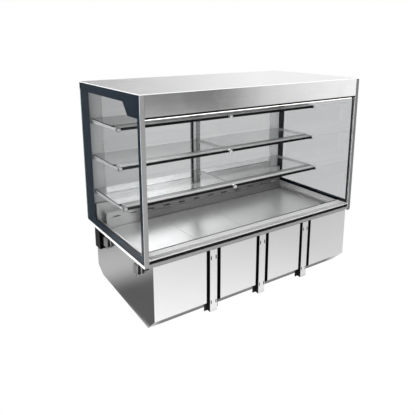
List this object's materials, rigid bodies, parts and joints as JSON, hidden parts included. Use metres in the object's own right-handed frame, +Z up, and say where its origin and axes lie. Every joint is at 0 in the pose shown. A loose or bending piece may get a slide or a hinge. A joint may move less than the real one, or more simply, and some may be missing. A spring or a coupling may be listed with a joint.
{
  "type": "hot food display case",
  "caption": "Drop-in glass display case with lit canopy, glass shelves, steel deck and sliding rear doors, over an insulated tank with hot-air fans under the deck.",
  "frame": {"origin": "middle of the glass box in plan, on the plane where the flange rests on the worktop", "axes": "+X to the customer's right, +Y from the customer's side to the attendant's side, +Z up"},
  "size_m": [1.43, 0.7681, 1.17],
  "materials": {
    "steel_frame": "brushed stainless profile",
    "steel_casing": "satin stainless sheet",
    "steel_tub": "stainless tub sheet",
    "steel_deck": "bright stainless deck panel",
    "steel_canopy": "brushed stainless sheet",
    "aluminium": "satin anodised",
    "polished_metal": "polished",
    "clear_glass": "clear tempered glass",
    "dark_print": "dark printed glass border",
    "black_rubber": "black seal",
    "black_plastic": "black moulded plastic",
    "zinc_steel": "zinc-plated steel",
    "mineral_wool": "mineral wool",
    "heater_sheath": "heat-darkened sheath",
    "lamp_diffuser": "opal diffuser",
    "grey_enclosure": "grey powder coat"
  },
  "bodies": {
    "case": {"base_frame": "steel_frame", "tank_shell": "steel_casing", "tank_insulation": "mineral_wool", "tank_liner": "steel_tub", "front_panel_1": "steel_casing", "front_panel_2": "steel_casing", "front_panel_3": "steel_casing", "front_panel_4": "steel_casing", "front_post_1": "steel_casing", "front_post_2": "steel_casing", "front_post_3": "steel_casing", "worktop_clamps": "zinc_steel", "clamp_screws": "zinc_steel", "side_vents": "black_plastic", "front_recess_strip": "black_rubber", "rear_duct_panel": "steel_tub", "fan_plate": "steel_tub", "left_fan_motor": "zinc_steel", "right_fan_motor": "zinc_steel", "heating_element": "heater_sheath", "left_side_glass": "clear_glass", "right_side_glass": "clear_glass", "glass_spacers": "aluminium", "glass_borders": "dark_print", "left_front_trim": "steel_frame", "right_front_trim": "steel_frame", "canopy_fascia": "steel_canopy", "canopy_roof": "steel_canopy", "canopy_duct": "steel_canopy", "canopy_ceiling": "steel_canopy", "air_outlet": "black_plastic", "light_diffuser": "lamp_diffuser", "left_column": "aluminium", "right_column": "aluminium", "centre_upright": "aluminium", "rear_top_track": "aluminium", "rear_bottom_track": "aluminium", "lower_shelf_glass": "clear_glass", "middle_shelf_glass": "clear_glass", "upper_shelf_glass": "clear_glass", "lower_shelf_arms": "polished_metal", "middle_shelf_arms": "polished_metal", "upper_shelf_arms": "polished_metal", "lower_shelf_rail": "polished_metal", "middle_shelf_rail": "polished_metal", "upper_shelf_rail": "polished_metal", "control_box": "grey_enclosure"},
    "front_grille": {"front_air_grille": "steel_frame"},
    "deck_1": {"deck_panel_1": "steel_deck"},
    "deck_2": {"deck_panel_2": "steel_deck"},
    "deck_3": {"deck_panel_3": "steel_deck"},
    "deck_4": {"deck_panel_4": "steel_deck"},
    "left_door": {"left_door_frame": "aluminium", "left_door_glass": "clear_glass"},
    "right_door": {"right_door_frame": "aluminium", "right_door_glass": "clear_glass"},
    "left_fan": {"left_impeller": "black_plastic"},
    "right_fan": {"right_impeller": "black_plastic"},
    "thermostat": {"thermostat_knob": "black_plastic"},
    "switch": {"main_switch": "black_plastic"}
  },
  "joints": [
    {"name": "left_door_slide", "type": "slide", "parent": "case", "child": "left_door", "axis": [1, 0, 0], "range_m": [0, 0.6]},
    {"name": "right_door_slide", "type": "slide", "parent": "case", "child": "right_door", "axis": [-1, 0, 0], "range_m": [0, 0.6]},
    {"name": "deck_1_lift", "type": "slide", "parent": "case", "child": "deck_1", "axis": [0, 0, 1], "range_m": [0, 0.12]},
    {"name": "deck_2_lift", "type": "slide", "parent": "case", "child": "deck_2", "axis": [0, 0, 1], "range_m": [0, 0.12]},
    {"name": "deck_3_lift", "type": "slide", "parent": "case", "child": "deck_3", "axis": [0, 0, 1], "range_m": [0, 0.12]},
    {"name": "deck_4_lift", "type": "slide", "parent": "case", "child": "deck_4", "axis": [0, 0, 1], "range_m": [0, 0.12]},
    {"name": "grille_lift", "type": "slide", "parent": "case", "child": "front_grille", "axis": [0, 0, 1], "range_m": [0, 0.08]},
    {"name": "left_fan_spin", "type": "hinge", "parent": "case", "child": "left_fan", "pos_m": [-0.3265, -0.057, -0.15], "axis": [0, 1, 0], "continuous": true},
    {"name": "right_fan_spin", "type": "hinge", "parent": "case", "child": "right_fan", "pos_m": [0.3265, -0.057, -0.15], "axis": [0, 1, 0], "continuous": true},
    {"name": "thermostat_turn", "type": "hinge", "parent": "case", "child": "thermostat", "pos_m": [0.25, 0.3941, -0.12], "axis": [0, -1, 0], "range_deg": [0, 270]},
    {"name": "switch_rock", "type": "hinge", "parent": "case", "child": "switch", "pos_m": [0.4, 0.3841, -0.12], "axis": [1, 0, 0], "range_deg": [0, 12]}
  ]
}
